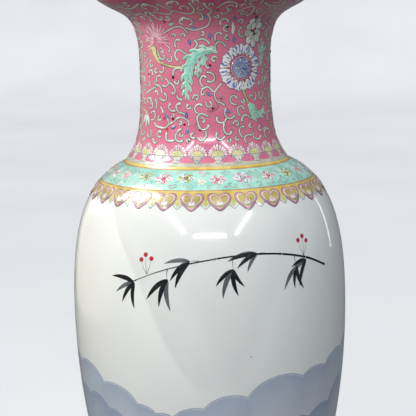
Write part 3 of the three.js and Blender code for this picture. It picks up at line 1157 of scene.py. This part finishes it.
def add_neck_flowers(turn):
    """The flowers, leaves and larger scrolls of one half of the neck, moved round the vase by an angle."""
    group = "neck_flowers"
    for places in tendrils:
        vine(chart(places, turn))
    for places in rim_scrolls:
        vine(chart(places, turn), "moss", 1.5)
    for places in twigs:
        vine(chart(places, turn), "grey_white", 1.3, 0.3, group)
    for places in pink_twigs:
        vine(chart(places, turn), "pink", 0.9, 0, group)
    for degrees, height, lean in blue_leaves:
        leaf(Spot(degrees + turn, height - 2, lean - 90), group, "blue", 5.0, 2.7, "white", "dark")
    for degrees, height, colour in berries:
        ink(group, colour, 5).patch(Spot(degrees + turn, height), circle(1.25, 14))
    for places, width, longest, pairs in curling_leaves:
        curling_leaf(chart(places, turn), width, longest, pairs, group)
    aster(Spot(32.2 + turn, 548.4), group)
    vine(chart([(31, 537), (34.5, 528), (38.5, 520)], turn), "yellow_green", 1.7, 0, group)
    chrysanthemum(Spot(-44 + turn, 571.5), group)
    calyx = chart([(-48.5, 567), (-46.5, 560), (-43, 555), (-40, 552.5)], turn)
    edged(group, "outline", "yellow_green", 6, calyx, 6.6, "taper", 0.3, 0.15)
    vine(chart([(-41, 553.5), (-32, 551), (-25, 550), (-16, 550)], turn), "yellow_green", 1.5, 0, group)
    bell_flower(Spot(-61 + turn, 511), group)
    peony(Spot(43 + turn, 577.5), group)
    small_flower(Spot(13 + turn, 524.5), group, "pink", "crimson")
    small_flower(Spot(71 + turn, 500), group, "yellow_green", "red")
    small_flower(Spot(-66 + turn, 540), group, "white", "yellow")
    leaf(Spot(23 + turn, 575, 4), group, "white", 11, 3.2, "moss")
    leaf(Spot(-28 + turn, 583.6, -70), group, "leaf_turquoise", 5.5, 3, "moss")
    peony(Spot(88 + turn, 547), group)
    chrysanthemum(Spot(90 + turn, 585), group)
    bell_flower(Spot(94 + turn, 512), group)


def fill_with_scrolls():
    """Wound and forked tendrils wherever the neck is still bare between the flowers."""
    draw = random.Random(21)
    room = (489.5, 602.5)
    rim_low = 592
    for length in (54, 44, 36, 29, 23, 18, 14, 11, 9, 7):
        forked = length > 18
        for attempt in range(3500):
            height = draw.uniform(490, 602)
            spot = Spot(draw.uniform(-180, 180), height, draw.uniform(0, 360), draw.random() < 0.5)
            long = length * draw.uniform(0.9, 1.1)
            if forked:
                main = spot.path(scroll(long, draw.uniform(190, 250), draw.random() < 0.4))
            else:
                main = spot.path(curl(long, draw.uniform(230, 290), 90, 1.4))[::-1]
            if not is_within(main, room) or not is_free(main):
                continue
            colour = "moss" if height > rim_low else "scroll_pale"
            if forked:
                side = spot.path(curl(long * 0.32, draw.choice((-250, 250)), draw.choice((20, 160)), 1.1))
                if is_within(side, room) and is_free(side[8:]):
                    vine(side[::-1], colour, 1.1)
            vine(main, colour, 1.25)


# A spray of bamboo in ink on the body, hanging from the right


def height_at(arc):
    return float(np.interp(arc, line_arc, line[:, 1]))


def bamboo_leaf(degrees, height, turn, length, shade):
    bends = np.array([(0, 0), (0.06, 0.35), (0.03, 0.7), (-0.05, 1)]) * length
    path = Spot(degrees, height, turn).curve(bends)
    ink("bamboo", shade, 0 if shade == "ink" else -1).stroke(path, 0.13 * length + 1.1, "leaf")


# The bamboo's twigs: how far along the stem each grows, which way it turns, its length and its leaves' turns
bamboo_twigs = [
    (0.10, 58, 10, (96, 124, 150)),
    (0.24, 172, 9, (138, 166, 196)),
    (0.38, 66, 9, (92, 118, 147)),
    (0.52, 168, 10, (130, 157, 186, 212)),
    (0.66, 74, 8, (98, 126, 152)),
    (0.80, 162, 8, (128, 156, 184)),
    (0.98, 110, 5, (84, 112, 142, 172)),
]


def bamboo_spray(middle, seed):
    """A jointed stem from the right, twigs of long leaves, some in paler ink, and two sprigs of berries."""
    draw = random.Random(seed)
    places = [(54, 391), (42, 401), (27, 407.5), (11, 408.5), (-5, 404.5), (-19, 397.5), (-31, 388)]
    stem = chart(places, middle)
    joints = [int(share * (len(stem) - 1)) for share in (0, 0.17, 0.31, 0.45, 0.59, 0.73, 0.87, 1)]
    for index, (start, end) in enumerate(zip(joints, joints[1:])):
        ink("bamboo", "ink", 0).stroke(stem[start : end + 1], 1.9 - 0.2 * index, "even", 0.25)
    for index, (share, turn, length, leaves) in enumerate(bamboo_twigs):
        degrees, arc = stem[int(share * (len(stem) - 1))]
        twig = Spot(degrees, height_at(arc), turn).path(curl(length, draw.uniform(20, 40), 90, 1.0))
        ink("bamboo", "ink", 0).stroke(twig, 0.8, "taper")
        tip, end_height = twig[-1, 0], height_at(twig[-1, 1])
        for count, lean in enumerate(leaves):
            shade = "grey_ink" if (count + index) % 3 == 1 else "ink"
            bamboo_leaf(tip, end_height, lean + draw.uniform(-6, 6), draw.uniform(16, 25), shade)
    for degrees, height, side in ((41, 402.5, 1), (-25, 394, -1)):
        root = Spot(middle + degrees, height)
        for x, y in ((-3.4, 12.5), (1.6, 15.2), (5.2, 11.2)):
            place = np.array([side * x, y])
            stalk = root.curve([(0, 0), place * [0.7, 0.55], place])
            ink("bamboo", "grey_ink", -0.5).stroke(stalk, 0.5, "taper")
            ink("bamboo", "red", 0).patch(root, circle(1.9, 16, *place))
            ink("bamboo", "ink", 1).patch(root, circle(0.4, 8, place[0] + 0.6, place[1] + 0.7))


# Light, floor and camera, with their places and sizes in metres

# The heights on the vase's axis that the soft cards and the bars face
card_aim = 0.42
bar_aim = 0.45


def rectangle_light(name, place, size, power, colour, rotation, seen):
    data = bpy.data.lights.new(name, "AREA")
    data.shape = "RECTANGLE"
    data.size, data.size_y = size
    data.energy = power
    data.color = colour
    light = bpy.data.objects.new(name, data)
    light.matrix_world = Matrix.Translation(Vector(place)) @ rotation.to_4x4()
    light.visible_camera = False
    light.visible_glossy = seen
    light.visible_diffuse = not seen
    bpy.context.scene.collection.objects.link(light)
    return light


def only_on(light, name):
    """Limits a light to one object."""
    lit = bpy.data.collections.new(f"lit_by_{light.name}")
    lit.objects.link(bpy.data.objects[name])
    light.light_linking.receiver_collection = lit


def soft_light(name, place, size, power, colour=(1, 1, 1), seen=False):
    """A soft box that faces the vase: one that lights it, or one that only shines in its glaze."""
    direction = Vector((0, 0, card_aim)) - Vector(place)
    rotation = direction.to_track_quat("-Z", "Y").to_matrix()
    return rectangle_light(name, place, size, power, colour, rotation, seen)


def bar_light(name, start, end, width, power):
    """A thin strip light from one point to another that faces the vase and shines in its glaze."""
    start, end = Vector(start), Vector(end)
    middle = (start + end) / 2
    along = (end - start).normalized()
    towards = Vector((0, 0, bar_aim)) - middle
    facing = (towards - towards.dot(along) * along).normalized()
    rotation = Matrix((along, facing.cross(along) * -1, -facing)).transposed()
    return rectangle_light(name, middle, ((end - start).length, width), power, (1, 1, 1), rotation, True)


def far_light(name, around, above, strength, colour, softness):
    """Even light from far off, at an angle round from the front and an angle above the floor."""
    data = bpy.data.lights.new(name, "SUN")
    data.energy = strength
    data.color = colour
    data.angle = math.radians(softness)
    light = bpy.data.objects.new(name, data)
    light.rotation_euler = (math.radians(90 - above), 0, math.radians(around))
    light.visible_glossy = False
    bpy.context.scene.collection.objects.link(light)
    return light


def add_lights():
    soft_light("key", (-0.22, -0.42, 0.82), (0.35, 0.35), 1.65, (0.98, 0.99, 1))
    soft_light("warm_side", (-0.6, -0.22, 0.93), (0.4, 0.4), 2.35, (1, 0.92, 0.79))
    far_light("fill", 40, 56, 1.3, (0.95, 0.97, 1), 50)
    soft_light("low_front", (-0.2, -0.85, 0.1), (0.5, 0.3), 0.6, (1, 0.97, 0.95))
    only_on(far_light("floor_light", -30, 65, 2.8, (1, 1, 1), 40), "floor")
    soft_light("upper_left", (-1.05, 0.0, 1.5), (0.76, 0.66), 31, (1, 0.98, 0.93), True)
    soft_light("left_card", (-1.3, 0.6, 0.6), (1.9, 1.3), 4.2, (1, 0.88, 0.7), True)
    only_on(bar_light("back_right", (1.22, 0.86, 0.85), (1.31, 0.83, 0.3), 0.03, 0.3), "clear_glaze")
    bar_light("front_bar", (-0.33, -1.44, 1.04), (0.38, -1.43, 1.03), 0.05, 6)
    bar_light("left_bar", (-0.53, -1.36, 1.07), (-0.83, -0.83, 1.48), 0.05, 5)
    bar_light("right_bar", (0.6, -1.35, 1.04), (0.87, -0.85, 1.44), 0.05, 5)
    world = bpy.data.worlds.new("studio")
    world.use_nodes = True
    background = world.node_tree.nodes["Background"]
    background.inputs["Color"].default_value = (0.9, 0.95, 1, 1)
    background.inputs["Strength"].default_value = 0.2
    bpy.context.scene.world = world


def add_floor():
    """A pale floor that sweeps up far away all round, so that no horizon shows."""
    flat, bend, high = 6, 3, 3
    sweep = [reach((flat, bend), bend, degrees) for degrees in range(-90, 1, 10)]
    profile = [*sweep, (flat + bend, bend + high)]
    sides = 96
    angles = np.linspace(0, 2 * math.pi, sides, endpoint=False)
    points = [(r * math.sin(a), r * math.cos(a), z) for a in angles for r, z in profile]
    rings = len(profile)
    faces = []
    for side in range(sides):
        here, after = side * rings, (side + 1) % sides * rings
        faces.append((here, after, sides * rings))
        faces += [(here + row, here + row + 1, after + row + 1, after + row) for row in range(rings - 1)]
    mesh = bpy.data.meshes.new("floor")
    mesh.from_pydata([*points, (0, 0, 0)], [], faces)
    mesh.shade_smooth()
    pale = Surface("pale_floor", 0.8, 0)
    colour = pale.mix(pale.noise(1.5, 3), srgb(204, 205, 207), srgb(198, 199, 202), 0.3, 0.7)
    mesh.materials.append(pale.finish(colour))
    floor = bpy.data.objects.new("floor", mesh)
    floor.visible_diffuse = False
    floor.visible_glossy = False
    bpy.context.scene.collection.objects.link(floor)


def add_camera():
    distance = 0.95
    height = 0.5905
    focal_pixels = 1124
    tilt_down = 9.75
    roll = -1.2
    data = bpy.data.cameras.new("camera")
    data.sensor_width = 36
    data.lens = focal_pixels * data.sensor_width / PICTURE
    data.clip_end = 200
    camera = bpy.data.objects.new("camera", data)
    tilt = Matrix.Rotation(math.radians(90 - tilt_down), 4, "X")
    turn = Matrix.Rotation(math.radians(roll), 4, "Z")
    camera.matrix_world = Matrix.Translation(Vector((0, -distance, height))) @ tilt @ turn
    bpy.context.scene.collection.objects.link(camera)
    bpy.context.scene.camera = camera


bpy.context.scene.view_settings.view_transform = "Standard"
add_camera()
dress_nodes()
add_glaze()
add_glaze_edge()
add_grounds()
add_heart_border()
add_band_flowers()
add_fans()
add_neck_flowers(0)
add_neck_flowers(180)
fill_with_scrolls()
bamboo_spray(0, 2)
bamboo_spray(180, 6)
for made in layers.values():
    made.finish()
add_floor()
add_lights()
